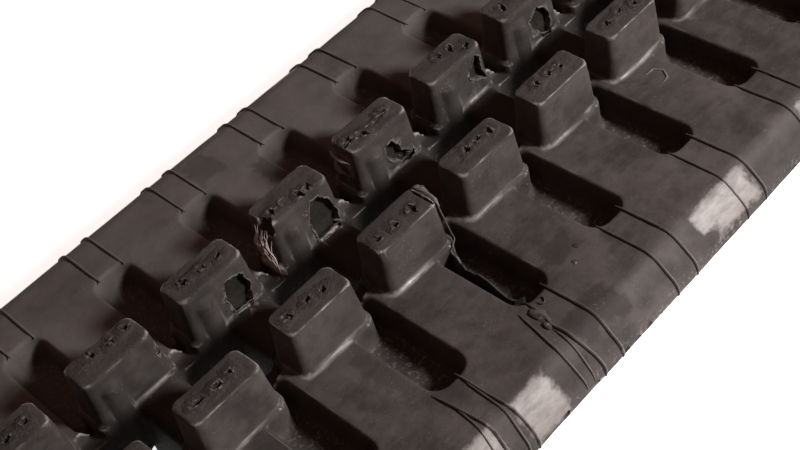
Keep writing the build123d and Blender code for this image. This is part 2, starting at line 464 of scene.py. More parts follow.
def thinBelt(thing):
    wanted = skin["triangles"]
    now = triangleCount(thing)
    fewer = thing.modifiers.new("fewer", "DECIMATE")
    fewer.ratio = min(1.0, wanted / now)
    applyModifiers(thing)
    print("skin thinned from", now, "to", len(thing.data.polygons))


# Wear that goes into the rubber: torn openings over the cores, pits, gouges and chips

tears = {
    # link: outline on the left lug's inner face, along from the link's middle and up from the land
    3: [(-3.4, 17.6), (3.6, 15.8), (6.6, 8.4), (4.6, 0.5), (-4.6, 0.8), (-5.6, 9.6)],
    4: [(-3.4, 19.6), (1.8, 18.6), (5.4, 14.6), (7.6, 6.0), (7.4, 0.8), (4.0, 0.2), (-5.6, -0.4),
        (-6.2, 6.6), (-6.0, 14.6)],
    5: [(-3.6, 14.3), (0.2, 7.2), (4.8, 2.2), (-2.9, 2.1), (-6.8, 5.4), (-8.3, 13.5)],
    6: [(3.5, 20.0), (6.5, 18.0), (5.5, 11.6), (7.5, 5.0), (-1.7, 10.1), (-2.1, 13.3)],
    7: [(-2.7, 17.3), (3.9, 12.2), (5.0, 4.6), (1.9, 1.1), (-5.9, 4.9), (-8.7, 13.1)],
}
wornStrips = {
    # link: the bright line at a torn lug's foot, from and to, along from the middle and across
    3: ((-4.6, 16.2), (3.4, 15.2)), 4: ((-6.0, 15.4), (5.8, 14.4)),
    5: ((-1.2, 17.2), (6.2, 16.4)), 7: ((-2.2, 16.4), (3.6, 15.6)),
}
wear = {
    "bulge": 2.2, "bulgeSize": 3.5, "tearStep": 0.9, "tearJitter": 0.35, "ringJitter": (-0.12, 0.12),
    "tearRings": [(11.0, 1.06), (14.4, 1.02), (15.6, 1.0), (17.2, 0.97), (19.4, 0.96)],  # across, scale
    "stripHalf": 2.9, "stripPoint": 0.8, "stripStep": 1.1, "stripJitter": 0.3, "stripLevels": (43.25, 47.5),
    "pitRow": (-9, 0, 9), "rowAlong": (-1.0, 1.0), "rowAcross": (-1.5, 1.5), "pitRadius": 1.8, "pitSides": 11,
    "pitUneven": (0.55, 1.25), "pitGrowth": (0.8, 1.15), "pitStretch": (1.0, 1.7), "chipRough": 0.35,
    "pitRings": [(2.0, 1.35), (-0.1, 1.0), (-0.9, 0.75), (-1.9, 0.45)],  # rise, scale
}
rim = {"scale": 1.05, "every": 7, "points": (5, 11), "stand": (-0.25, 0.1), "halfWidth": (0.3, 0.6),
       "height": (0.2, 0.5), "sink": 0.6, "ends": 0.2}


def ragged(outline, step, jitter, rng):
    # the closed outline with points a step apart, each moved a little
    line = alongLine(list(outline) + [outline[0]], step)[:-1]
    probe = np.column_stack([line, np.full(len(line), rng.uniform(0, 99))])
    bulge = np.column_stack([lumps(probe, wear["bulgeSize"], seed) for seed in seeds["bulge"]])
    return line + wear["bulge"] * jitter * bulge + rng.uniform(-jitter, jitter, line.shape)


def tearLine(link):
    # the ragged edge of a torn opening, with the generator that goes on from it
    rng = np.random.default_rng(seeds["tear"] + link)
    return ragged(tears[link], wear["tearStep"], wear["tearJitter"], rng), rng


def tearCutter(link):
    line, rng = tearLine(link)
    middle = line.mean(axis=0)
    rings = []
    for across, scale in wear["tearRings"]:
        moved = middle + (line - middle) * scale + rng.uniform(*wear["ringJitter"], line.shape)
        rings.append(np.array([(linkMiddles[link] + u, across, body["landTop"] + v) for u, v in moved]))
    return loft(rings)


def tearRim(link):
    # the frayed lip round a torn opening
    line, rng = tearLine(link)
    line = line.mean(axis=0) + (line - line.mean(axis=0)) * rim["scale"]
    made = []
    for first in range(0, len(line) - rim["every"] + 1, rim["every"]):
        part = line[first:first + rng.integers(*rim["points"])]
        y = [innerFace(body["landTop"] + v) + rng.uniform(*rim["stand"]) for u, v in part]
        points = np.column_stack([linkMiddles[link] + part[:, 0], y, body["landTop"] + part[:, 1]])
        made.append(strand(points, (0, -1, 0), rng.uniform(*rim["halfWidth"]), rng.uniform(*rim["height"]),
                           rim["sink"], rim["ends"]))
    return made


def stripCutter(link):
    # the rubber worn off the core's bar along the foot of a torn lug
    w, rng = wear, np.random.default_rng(seeds["strip"] + link)
    (x0, y0), (x1, y1) = wornStrips[link]
    half, point = w["stripHalf"], w["stripPoint"]
    outline = [(x0, y0 - half), (x1, y1 - half), (x1 + point, y1),
               (x1, y1 + half), (x0, y0 + half), (x0 - point, y0)]
    line = ragged(outline, w["stripStep"], w["stripJitter"], rng)
    return loft([np.array([(linkMiddles[link] + u, v, z) for u, v in line]) for z in w["stripLevels"]])


pitPlaces = {
    # link: along from the link's middle and across from the lug's middle, right lug and then left lug
    2: ([(15.0, 0.6), (7.6, -0.3), (-1.4, 0.6)], [(4.0, 3.0), (-3.5, 2.4), (-12.2, 3.5)]),
    3: ([(14.2, -0.8), (6.6, 0.4), (-3.0, 1.2)], [(1.5, -0.8), (-6.6, 0.6), (-15.4, 1.2)]),
    4: ([(15.4, -1.5), (5.2, -1.8), (-4.0, -1.2)], [(0.6, -4.6), (-4.2, -4.2), (-17.8, -1.8)]),
    5: ([(17.0, 1.0), (10.6, 2.1), (3.4, 1.6)], [(0.4, 0.2), (-12.0, -2.4), (-19.4, 0.4)]),
    6: ([(14.9, 0.6), (8.9, 2.2), (1.2, 2.4)], [(3.9, -3.0), (-1.2, 1.4), (-8.0, 2.8)]),
}


def pitCentres():
    # every pit as x, y and the seed of its own random shape
    made = []
    for link, x in enumerate(linkMiddles):
        for left, sign in enumerate((1, -1)):
            side = 2 * link + 1 - left
            rng = np.random.default_rng(seeds["row"] + side)
            usual = [(sign * lug["offset"] + d + rng.uniform(*wear["rowAlong"]), rng.uniform(*wear["rowAcross"]))
                     for d in wear["pitRow"]]
            places = pitPlaces[link][left] if link in pitPlaces else usual
            for number, (along, across) in enumerate(places):
                made.append((x + along, -sign * lug["middle"] + across, seeds["pit"] + 10 * side + number))
    return made


def pitCutter(x, y, seed):
    # a ragged little hole in a lug's top
    w, rng, turn = wear, np.random.default_rng(seed), fullTurn(wear["pitSides"])
    radius = w["pitRadius"] * rng.uniform(*w["pitUneven"], len(turn)) * rng.uniform(*w["pitGrowth"])
    stretch, tilt = rng.uniform(*w["pitStretch"]), rng.uniform(0, math.pi)
    u, v = radius * np.cos(turn) * stretch, radius * np.sin(turn) / stretch ** 0.5
    px = x + u * math.cos(tilt) - v * math.sin(tilt)
    py = y + u * math.sin(tilt) + v * math.cos(tilt)
    return loft([np.stack([x + (px - x) * scale, y + (py - y) * scale, 0 * px + lug["top"] + rise], axis=1)
                 for rise, scale in w["pitRings"]])


gouges = [
    # centre and radii of lumps taken out of the rubber
    ((-48.6, 20.4, 66.2), (4.6, 4.8, 5.6)), ((-49.4, 22.0, 58.0), (2.2, 3.6, 6.0)),  # corner of left lug 4
    ((-1.0, 25.5, 60.5), (2.2, 5.0, 2.0)), ((-1.6, 24.0, 54.5), (2.0, 3.4, 3.2)),  # near face of left lug 5
    ((2.0, 22.6, 69.2), (2.6, 1.6, 2.0)), ((21.5, 22.2, 69.6), (5.2, 1.5, 1.9)),  # cracks on its top
    ((15.5, 22.4, 69.4), (3.6, 0.8, 2.0)), ((10.0, 21.4, 69.4), (1.8, 1.6, 2.2)),
    ((-80.5, -16.6, 69.4), (4.0, 1.4, 1.9)), ((-73.0, -15.8, 69.0), (3.0, 1.1, 1.6)),  # right lug 3
    ((-112.0, 17.2, 58.0), (3.6, 2.0, 2.6)), ((-104.0, 16.4, 53.0), (2.8, 1.8, 3.4)),  # left lug 2
    ((6.0, -114.8, 29.5), (1.8, 1.6, 1.6)), ((12.5, -115.0, 28.8), (2.6, 1.5, 1.3)),  # chips along the sides
    ((20.0, -114.9, 30.2), (2.2, 1.4, 1.8)), ((27.5, -115.1, 28.4), (1.6, 1.5, 1.4)),
    ((-12.0, -115.0, 29.0), (2.0, 1.5, 1.5)), ((64.0, -115.0, 28.6), (2.4, 1.3, 1.3)),
    ((-30.5, -114.9, 30.0), (2.2, 1.4, 1.6)), ((120.0, -115.1, 29.0), (2.0, 1.4, 1.4)),
    ((-150.0, 115.0, 29.5), (2.4, 1.3, 1.5)), ((90.0, 115.1, 28.8), (2.2, 1.4, 1.5)),
    ((-95.0, -115.0, 29.2), (1.9, 1.4, 1.5)), ((160.0, -114.9, 29.8), (2.1, 1.4, 1.4)),
]
flap = {"outline": [(-2.6, -30.6), (-1.2, -30.2), (-0.9, -22.0), (-1.6, -16.6), (-2.2, -17.0), (-2.4, -24.0)],
        "step": 1.2, "jitter": 0.18, "levels": (65.6, 70.0)}


def flapGroove():
    # the gap behind the torn rim at the far end of right lug 4
    line = ragged(flap["outline"], flap["step"], flap["jitter"], np.random.default_rng(seeds["flap"]))
    return loft([np.array([(u, v, z) for u, v in line]) for z in flap["levels"]])


def tearBelt(thing):
    cuts = [tearCutter(link) for link in tears] + [stripCutter(link) for link in wornStrips]
    cuts += [pitCutter(*place) for place in pitCentres()] + [flapGroove()]
    cuts += [blob(centre, radii, wear["chipRough"], seed) for seed, (centre, radii) in enumerate(gouges)]
    carve(thing, cuts)
    print("tears, pits and chips cut,", len(thing.data.polygons), "faces")


# Wear and moulding lines that stand on the rubber

rib = {"spacing": 12.8, "setback": 2.6, "halfWidth": 0.75, "height": 0.85, "sink": 0.8, "start": 76.0,
       "step": 1.7, "points": 12, "wave": 0.25, "waveSize": 14, "foot": 27.2, "endGap": 0.3,
       "oddWidth": 0.78, "oddHeight": 0.9}
edgeFrom = 60.0
edgeRun = alongLine(edgeLine(edgeFrom), 0.5)
edgeAhead = np.gradient(edgeRun, axis=0)
edgeAhead /= np.linalg.norm(edgeAhead, axis=1)[:, None]
edgePlace = edgeFrom + np.concatenate([[0], np.cumsum(np.linalg.norm(np.diff(edgeRun, axis=0), axis=1))])
sideFoot = float(np.interp(-rib["foot"], -edgeRun[:, 1], edgePlace))


def overEdge(line, halfWidth, height, left=False, ends=0.3):
    # a bead over the land, the bevel and the side; its line gives x and the way along the section
    line = alongLine(line, rib["step"])
    y, z = (np.interp(line[:, 1], edgePlace, edgeRun[:, i]) for i in (0, 1))
    ny, nz = (np.interp(line[:, 1], edgePlace, values) for values in (-edgeAhead[:, 1], edgeAhead[:, 0]))
    sign = 1 if left else -1
    points = np.stack([line[:, 0], sign * y, z], axis=1)
    ups = np.stack([np.zeros(len(line)), sign * ny, nz], axis=1)
    return strand(points, ups, halfWidth, height, rib["sink"], ends)


def plainRib(x, left, seed):
    places = np.linspace(rib["start"], sideFoot, rib["points"])
    sway = rib["wave"] * lumps(np.outer(places, (0, 1, 0)), rib["waveSize"], seed)
    return overEdge(np.stack([x + sway, places], axis=1), rib["halfWidth"], rib["height"], left)


oddRibs = [
    # beads of the right joints 4 and 5, which moved, split or tore: line, half width and height
    ([(3.6, 76), (3.9, 90), (4.0, 102), (3.4, 112), (3.6, 125)], 1.05, 1.0),
    ([(-6.9, 77), (-7.4, 86), (-9.6, 92.5), (-8.9, 98), (-9.0, 103), (-7.3, 113), (-6.9, 121), (-7.4, 125)],
     1.0, 1.0),
    ([(-12.9, 79), (-14.8, 89), (-16.7, 97.5), (-17.6, 105), (-17.6, 121)], 0.8, 0.7),
    ([(-10.6, 94), (-11.0, 98), (-12.0, 109), (-13.3, 121)], 0.7, 0.55),
    ([(-47.5, 77), (-47.4, 92), (-46.9, 99), (-45.7, 108), (-45.7, 115), (-46.4, 125)], 0.95, 1.0),
    ([(-47.8, 80), (-48.5, 93), (-48.8, 103), (-49.7, 109), (-50.8, 119), (-50.9, 124)], 0.8, 0.8),
    ([(-59.9, 77), (-58.7, 87.5), (-58.1, 94), (-57.1, 104), (-58.0, 112), (-58.2, 125)], 0.95, 1.0),
    ([(-58.4, 84), (-59.6, 96), (-60.6, 102), (-61.8, 108), (-62.2, 119)], 0.75, 0.7),
]
oddJoints = (4, 5)


def ribShapes():
    made = [overEdge(line, rib["oddWidth"] * halfWidth, rib["oddHeight"] * height)
            for line, halfWidth, height in oddRibs]
    for number, joint in enumerate(linkJoints):
        for left in bothWays:
            for side in (-1, 1):
                x = joint + (1 if left else -1) * rib["setback"] + side * rib["spacing"] / 2
                onBelt = abs(x) < halfLength - rib["halfWidth"] - rib["endGap"]
                if onBelt and (left or number not in oddJoints):
                    made.append(plainRib(x, left, seeds["rib"] + 10 * number + 2 * left + (side > 0)))
    return made


crumb = {"count": (1, 3), "away": (1.2, 2.2), "stretch": (1.3, 0.8), "stand": (-0.25, 0.05),
         "radius": (0.35, 1.1), "shape": (1.5, 0.9, 0.6), "rough": 0.5, "rows": 5, "sides": 7}


def crumbs():
    # little torn bits beside the pits
    c, made = crumb, []
    for x, y, seed in pitCentres():
        rng = np.random.default_rng(seed + seeds["crumb"])
        for _ in range(rng.integers(*c["count"])):
            turn, away = rng.uniform(0, 2 * math.pi), rng.uniform(*c["away"])
            spot = (x + away * math.cos(turn) * c["stretch"][0], y + away * math.sin(turn) * c["stretch"][1],
                    lug["top"] + rng.uniform(*c["stand"]))
            radii = rng.uniform(*c["radius"], 3) * c["shape"]
            made.append(blob(spot, radii, c["rough"], seed, c["rows"], c["sides"]))
    return made


shredLines = [
    # up, half width, height and points
    ((-1, 0, 0.3), 0.7, 1.2, [(-0.4, 31.4, 63.0), (-1.6, 27.5, 62.9), (-1.8, 23.5, 62.4), (-0.6, 19.4, 61.4)]),
    ((-1, 0, 0.3), 1.1, 1.3, [(-1.0, 28.4, 60.0), (-2.2, 26.6, 58.0), (-2.4, 24.4, 55.6), (-1.2, 22.4, 53.8)]),
    ((-1, 0, 0), 0.6, 0.5, [(-0.8, 30.0, 57.0), (-1.6, 28.6, 54.0), (-1.4, 27.0, 50.0)]),
    ((0.4, 0, 1), 0.9, 1.0, [(0.2, -14.8, 65.0), (1.0, -17.5, 67.2), (1.1, -23.5, 67.6), (0.6, -29.0, 67.2),
                             (-0.2, -31.6, 65.6)]),
    ((0.5, -0.8, 0.3), 0.35, 0.45, [(-0.6, -31.4, 66.0), (0.2, -32.4, 58.0), (1.1, -33.4, 50.0),
                                    (1.8, -33.8, 46.0), (-1.0, -35.0, 44.9), (-2.9, -38.0, 44.6)]),
    ((0, 0, 1), 0.4, 0.4, [(-36.6, 20.4, 68.5), (-37.6, 22.2, 68.6), (-36.2, 23.6, 68.6), (-33.4, 23.4, 68.5)]),
    ((0, 0, 1), 0.55, 0.4, [(120.8, -40.6, 45.0), (125.6, -41.2, 45.1), (127.4, -45.4, 45.1),
                            (124.6, -49.4, 45.1), (121.0, -49.8, 45.0)]),
    ((0, 0, 1), 0.35, 0.5, [(-2.6, -79.6, 45.0), (-1.0, -81.4, 45.2), (-2.2, -83.6, 45.2), (-4.2, -83.2, 45.2),
                            (-4.4, -80.8, 45.1)]),
    ((0, -1, 0.4), 0.7, 0.4, [(-29.0, 15.6, 46.6), (-30.2, 13.2, 44.8), (-29.6, 11.6, 42.2)]),
    ((0, -1, 0.4), 0.5, 0.4, [(-76.5, 16.2, 47.4), (-77.4, 13.4, 44.6), (-77.0, 12.0, 41.0)]),
]
shred = {"step": 0.9, "sink": 0.5, "ends": 0.25}
fibre = {"count": 20, "across": (16.6, 25.0), "level": (60, 67), "length": (9, 19), "points": 7, "face": -47.9,
         "stand": 0.8, "belly": 2.8, "drift": (-2.6, 1.6), "wave": 0.5, "waves": 9,
         "curl": 0.5, "curls": [(2.5, 70), (2.0, 90)],  # size and first seed
         "halfWidth": (0.25, 0.65), "height": (0.25, 0.45), "sink": 0.4, "ends": 0.2}


def shreds():
    # torn fibres, flaps and lips, each a thin bead along its own line
    f, rng = fibre, np.random.default_rng(seeds["fibre"])
    made = []
    for number in range(f["count"]):  # they hang down the near face of left lug 4
        y, z, length = rng.uniform(*f["across"]), rng.uniform(*f["level"]), rng.uniform(*f["length"])
        steps = np.linspace(0, 1, f["points"])
        down = z - length * steps
        stand = f["stand"] + f["belly"] * np.sin(steps * math.pi) * rng.uniform(0.2, 1)
        drift = rng.uniform(*f["drift"]) * steps + f["wave"] * np.sin(steps * f["waves"] + number)
        line = np.stack([f["face"] - stand - (lug["top"] - down) * lugSlope, y + drift, down], axis=1)
        curl = [lumps(line, size, seed + number) for size, seed in f["curls"]] + [0 * steps]
        line += f["curl"] * np.stack(curl, axis=1)
        made.append(strand(line, (-1, 0, 0), rng.uniform(*f["halfWidth"]), rng.uniform(*f["height"]),
                           f["sink"], f["ends"]))
    for up, halfWidth, height, line in shredLines:
        made.append(strand(alongLine(line, shred["step"]), np.array(up) / np.linalg.norm(up), halfWidth, height,
                           shred["sink"], shred["ends"]))
    return made


lip = {"line": [(1.2, -31.0), (-2.6, -36.5), (-5.4, -46.0), (-5.6, -53.0), (-6.8, -60.0), (-7.2, -67.0),
                (-7.4, -71.5), (-4.4, -75.0)],
       "step": 1.1, "half": 0.45, "ends": 0.3, "taper": 4, "top": 43.2, "topFall": 0.3, "bottom": 33.0,
       "footIn": 0.6, "footOut": 0.9,
       "topLumps": [(0.9, 2.2, 31), (0.7, 6, 32)], "lean": [(0.5, 5, 33)]}


def tornLip():
    # a ragged skin that came away from the near wall of the pocket at the middle joint
    line = alongLine(lip["line"], lip["step"])
    rings = []
    for number, (x, y) in enumerate(line):
        half = lip["half"] * min(1.0, lip["ends"] + min(number, len(line) - 1 - number) / lip["taper"])
        probe = np.array([[x, y, 0.0]])
        top = lip["top"] + layered(probe, lip["topLumps"])[0]
        lean = layered(probe, lip["lean"])[0]
        rings.append(np.array([(x - half + lean, y, top), (x + half + lean, y, top - lip["topFall"]),
                               (x + half - lip["footIn"], y, lip["bottom"]),
                               (x - half - lip["footOut"], y, lip["bottom"])]))
    return loft(rings)


roughBits = [
    # centre and radii of lumps on the rubber
    ((-8.6, -86.0, 44.9), (2.4, 5.2, 1.1)), ((-10.6, -91.5, 44.9), (1.6, 2.4, 0.9)),
    ((3.0, -17.0, 62.5), (2.6, 3.4, 4.2)), ((2.2, -21.0, 58.5), (1.8, 2.6, 4.4)),
    ((26.7, -75.8, 44.7), (1.4, 1.8, 0.7)), ((19.6, -80.8, 44.7), (1.6, 1.4, 0.7)),
]
bitLook = {"rough": 0.45, "rows": 8, "sides": 13}


def dressBelt(thing):
    shapes = ribShapes() + crumbs() + shreds() + [tornLip()]
    shapes += [blob(centre, radii, seed=seed, **bitLook) for seed, (centre, radii) in
               enumerate(roughBits, seeds["bit"])]
    shapes += [part for link in tears for part in tearRim(link)]
    joinOn(thing, makeThing("dressing", shapes))
    p = meshPoints(thing.data)
    p[:, 2] = np.clip(p[:, 2], 0, lug["highest"])
    setPoints(thing.data, p)
    print("ribs and shreds added,", triangleCount(thing), "triangles")


marks = {
    # bend at which an edge or a corner starts to count, and over how much it grows to the full mark
    "edge": (0.24, 0.24), "sharp": (0.9, 0.6), "sharpLoss": 0.75, "corner": (0.05, 0.14), "shortest": 0.25,
    "loose": 0.35, "tornReach": 4.0, "tornFade": 1.6, "tornStretch": 0.75, "tornDepth": 2.6,
    "tornEdge": [(0.9, 2.5, 9)],  # height, size and seed of its lumps
    # the bead and lip values here paint light and shade: a highlight on the beads' sides towards the key lamp,
    # and shade on their other sides and on the loose bits by the middle joint
    "ribFrom": 74, "ribHighlight": 0.12, "ribHighlightBelow": 0.5, "belowLand": (44.0, 4), "ribBase": 0.35, "ribBack": 1.6,
    "lipAcross": (-82, -42), "lipAlong": 30, "lipShade": 0.8,
}


def over(values, start, reach):
    return np.clip((values - start) / reach, 0, 1)


def bendOf(mesh, p, n):
    # how far the skin bends at each point, above 0 where it stands out
    ends = np.empty(len(mesh.edges) * 2, np.int32)
    mesh.edges.foreach_get("vertices", ends)
    a, b = ends.reshape(-1, 2).T
    run = p[b] - p[a]
    length = np.maximum(np.linalg.norm(run, axis=1), marks["shortest"])

    def gathered(valueA, valueB):
        return np.bincount(a, valueA, len(p)) + np.bincount(b, valueB, len(p))

    neighbours = np.maximum(gathered(np.ones(len(a)), np.ones(len(b))), 1)
    bend = gathered(-(n[a] * run).sum(1) / length ** 2, (n[b] * run).sum(1) / length ** 2) * 2 / neighbours
    return 0.5 * bend + 0.5 * gathered(bend[b], bend[a]) / neighbours


def markEdges(thing, skinCount):
    # masks on the points: edges that stand out, with a painted highlight on the beads' lit sides, sunk corners,
    # torn spots round the pits, and painted shade on the beads and on the loose bits by the middle joint
    m = marks
    mesh = thing.data
    p, n = meshPoints(mesh), meshNormals(mesh)
    bend = bendOf(mesh, p, n)
    torn = np.zeros(len(p))
    for x, y, _ in pitCentres():
        away = np.hypot((p[:, 0] - x) * m["tornStretch"], p[:, 1] - y) + layered(p, m["tornEdge"])
        torn = np.maximum(torn, (m["tornReach"] - away) / m["tornFade"])
    torn[p[:, 2] < lug["top"] - m["tornDepth"]] = 0

    loose = np.arange(len(p)) >= skinCount
    onRib = loose & (np.abs(p[:, 1]) > m["ribFrom"])
    low, high = m["lipAcross"]
    onLip = loose & (p[:, 1] > low) & (p[:, 1] < high) & (np.abs(p[:, 0]) < m["lipAlong"])
    edge = over(bend, *m["edge"]) * (1 - m["sharpLoss"] * over(bend, *m["sharp"]))
    edge[loose] *= m["loose"]
    belowLand = over(m["belowLand"][0] - p[:, 2], 0, m["belowLand"][1])
    # painted highlight on each bead's side towards the key lamp, stronger below the land
    ribHighlight = (m["ribHighlight"] + m["ribHighlightBelow"] * belowLand) * np.clip(n[:, 0] * 2, 0, 1)
    edge = np.where(onLip, 0, np.where(onRib, ribHighlight, edge))
    # painted shade on every bead, strongest on its side away from the key lamp, and on the loose bits by the
    # middle joint
    ribShade = np.where(onRib, m["ribBase"] + m["ribBack"] * np.clip(-n[:, 0], 0, 1), 0)
    ribShade[onLip] = m["lipShade"]
    for name, values in (("standingEdge", edge), ("sunkCorner", over(-bend, *m["corner"])), ("tornSpot", torn),
                         ("ribShade", ribShade)):
        layer = mesh.attributes.new(name, "FLOAT", "POINT")
        layer.data.foreach_set("value", np.clip(values, 0, 1).astype(np.float32))


belt = mouldBelt()
weatherBelt(belt)
thinBelt(belt)
tearBelt(belt)
skinCount = len(belt.data.vertices)
dressBelt(belt)
markEdges(belt, skinCount)
for face in belt.data.polygons:
    face.use_smooth = True
belt.data.set_sharp_from_angle(angle=math.radians(skin["sharpAngle"]))
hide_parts("rubber_belt")
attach(belt, "root")


# Nodes

def addNode(tree, kind, inputs=None, **settings):
    node = tree.nodes.new(kind)
    for name, value in settings.items():
        setattr(node, name, value)
    for name, value in (inputs or {}).items():
        if isinstance(value, bpy.types.NodeSocket):
            tree.links.new(value, node.inputs[name])
        else:
            node.inputs[name].default_value = value
    return node


def calc(tree, operation, a, b=0.0, clamp=False):
    return addNode(tree, "ShaderNodeMath", {0: a, 1: b}, operation=operation, use_clamp=clamp).outputs[0]


def product(tree, *masks):
    made = masks[0]
    for mask in masks[1:]:
        made = calc(tree, "MULTIPLY", made, mask)
    return made


def calcVector(tree, operation, a, b):
    return addNode(tree, "ShaderNodeVectorMath", {0: a, 1: b}, operation=operation).outputs[0]


def noise(tree, place, scale, detail, roughness=0.5, distortion=0.0):
    return addNode(tree, "ShaderNodeTexNoise", {
        "Vector": place, "Scale": scale, "Detail": detail, "Roughness": roughness,
        "Distortion": distortion}).outputs["Fac"]


def blendColour(tree, factor, a, b):
    return addNode(tree, "ShaderNodeMix", {0: factor, 6: a, 7: b}, data_type="RGBA").outputs[2]


def blendValue(tree, factor, a, b):
    return addNode(tree, "ShaderNodeMix", {0: factor, 2: a, 3: b}, data_type="FLOAT").outputs[0]


def ramp(tree, value, low, high, out0=0.0, out1=1.0, kind="LINEAR"):
    return addNode(tree, "ShaderNodeMapRange", {
        "Value": value, "From Min": low, "From Max": high, "To Min": out0, "To Max": out1},
        interpolation_type=kind).outputs["Result"]


def newGroup(name, inputs):
    # a group with the given inputs, which puts out one mask
    group = bpy.data.node_groups.new(name, "ShaderNodeTree")
    for socket, value in inputs.items():
        kind = "NodeSocketVector" if isinstance(value, tuple) else "NodeSocketFloat"
        group.interface.new_socket(socket, in_out="INPUT", socket_type=kind).default_value = value
    group.interface.new_socket("Mask", in_out="OUTPUT", socket_type="NodeSocketFloat")
    return group, group.nodes.new("NodeGroupInput").outputs, group.nodes.new("NodeGroupOutput").inputs["Mask"]


def makeBlotches():
    # cloudy patches: size in millimetres, cover from 0 to 1
    group, given, mask = newGroup("blotches", {"Vector": (0, 0, 0), "Size": 10.0, "Cover": 0.5, "Softness": 0.15,
                                               "Detail": 4.0})
    clouds = noise(group, given["Vector"], calc(group, "DIVIDE", 1.0, given["Size"]), given["Detail"], 0.6)
    level = ramp(group, given["Cover"], 0.0, 1.0, 0.72, 0.28)
    low, high = (calc(group, way, level, given["Softness"]) for way in ("SUBTRACT", "ADD"))
    group.links.new(ramp(group, clouds, low, high, kind="SMOOTHSTEP"), mask)
    return group


def makeRaggedPatch():
    # one patch with torn edges: place and half size in millimetres
    group, given, mask = newGroup("raggedPatch", {
        "Vector": (0, 0, 0), "Place": (0, 0, 0), "Half Size": (5, 5, 5), "Ragged": 0.5, "Grain": 3.0})
    away = calcVector(group, "SUBTRACT", given["Vector"], given["Place"])
    share = addNode(group, "ShaderNodeSeparateXYZ", {0: calcVector(group, "DIVIDE", away, given["Half Size"])})
    x, y, z = (calc(group, "ABSOLUTE", part) for part in share.outputs)
    far = calc(group, "MAXIMUM", calc(group, "MAXIMUM", x, y), z)
    grain = noise(group, given["Vector"], calc(group, "DIVIDE", 1.0, given["Grain"]), 6.0, 0.65)
    torn = product(group, calc(group, "SUBTRACT", grain, 0.5), product(group, given["Ragged"], 2.0))
    group.links.new(ramp(group, calc(group, "ADD", far, torn), 1.12, 0.86), mask)
    return group


def makeScratches():
    # thin lines that run mostly along one way
    group, given, mask = newGroup("scratches", {
        "Vector": (0, 0, 0), "Stretch": (0.08, 1.4, 1.4), "Sharpness": 0.03})
    stretched = calcVector(group, "MULTIPLY", given["Vector"], given["Stretch"])
    grain = noise(group, stretched, 1.0, 3.0, distortion=0.4)
    line = calc(group, "ABSOLUTE", calc(group, "SUBTRACT", grain, 0.5))
    group.links.new(ramp(group, line, given["Sharpness"], 0.0), mask)
    return group


blotches, raggedPatch, scratches = makeBlotches(), makeRaggedPatch(), makeScratches()


def groupMask(tree, group, place, *values):
    # the group's mask at the place, its other inputs given in their order
    inputs = {0: place, **dict(enumerate(values, 1))}
    return addNode(tree, "ShaderNodeGroup", inputs, node_tree=group).outputs["Mask"]


def pointMask(tree, name):
    return addNode(tree, "ShaderNodeAttribute", attribute_name=name).outputs["Fac"]


def inMillimetres(tree):
    # the place on the object, and its parts across and up
    spot = tree.nodes.new("ShaderNodeTexCoord").outputs["Object"]
    place = addNode(tree, "ShaderNodeVectorMath", {0: spot, "Scale": 1 / mm}, operation="SCALE").outputs[0]
    return place, *addNode(tree, "ShaderNodeSeparateXYZ", {0: place}).outputs[1:]


def newFinish(name):
    made = bpy.data.materials.new(name)
    made.use_nodes = True
    return made, made.node_tree, made.node_tree.nodes["Principled BSDF"]


def feed(tree, shader, colour, rough, height):
    tree.links.new(colour, shader.inputs["Base Color"])
    tree.links.new(rough, shader.inputs["Roughness"])
    bump = addNode(tree, "ShaderNodeBump", {"Height": height, "Strength": 1.0, "Distance": mm})
    tree.links.new(bump.outputs["Normal"], shader.inputs["Normal"])


# Rubber: matt dark flats, polished edges, dusty film, pale scuffs on the bevels, and painted highlights, light
# and shade

rubber = {
    "film": (0.054, 0.043, 0.039, 1), "plain": (0.035, 0.026, 0.023, 1), "dark": (0.010, 0.007, 0.006, 1),
    # on the next line the edge tone is the pale of polished edges and scratches and also a painted highlight,
    # and the last tone is painted light
    "edge": (0.27, 0.245, 0.23, 1), "scuff": (0.172, 0.148, 0.138, 1), "paintedLight": (0.085, 0.074, 0.068, 1),
    "speck": (0.15, 0.135, 0.125, 1), "fibre": (0.34, 0.27, 0.25, 1), "roughness": 0.92, "cloudRoughness": 0.82,
    "edgeRoughness": 0.30, "scuffRoughness": 0.50, "gloss": 0.45,
}
zones = {
    # the measures that bound a zone, each with where the zone starts and where it is full
    "lugTop": [("level", 66.6, 67.8)], "side": [("level", 34.5, 31.5)],
    "channelShade": [("outwards", 21.0, 14.5), ("level", 54.0, 44.0)],
    "pocket": [("outwards", 84.0, 80.0), ("level", 44.3, 42.3)],
    "leftLandLight": [("across", 28.0, 40.0)], "foot": [("level", 43.2, 44.6), ("level", 54.0, 48.0)],
    "innerSideShade": [("across", 10.5, 12.0), ("across", 20.0, 18.0), ("level", 67.2, 65.8)],
    "shoulderHighlight": [("outwards", 100.0, 103.5), ("outwards", 109.5, 104.5)],
}
scuffs = [
    # centre and half size in millimetres
    ((-37.0, -109.0, 38.5), (9.5, 7.2, 8.0)), ((-66.0, -109.0, 38.5), (8.5, 7.5, 8.0)),
    ((83.0, -108.0, 39.0), (14.0, 5.5, 6.0)), ((68.0, -106.5, 41.0), (5.5, 3.6, 4.2)),
    ((-112.0, -108.5, 38.5), (7.0, 6.0, 8.0)), ((150.0, -108.5, 38.5), (12.0, 5.5, 7.0)),
    ((-150.0, 108.5, 38.5), (9.0, 6.0, 8.0)), ((35.0, 108.5, 38.5), (8.0, 5.5, 8.0)),
]
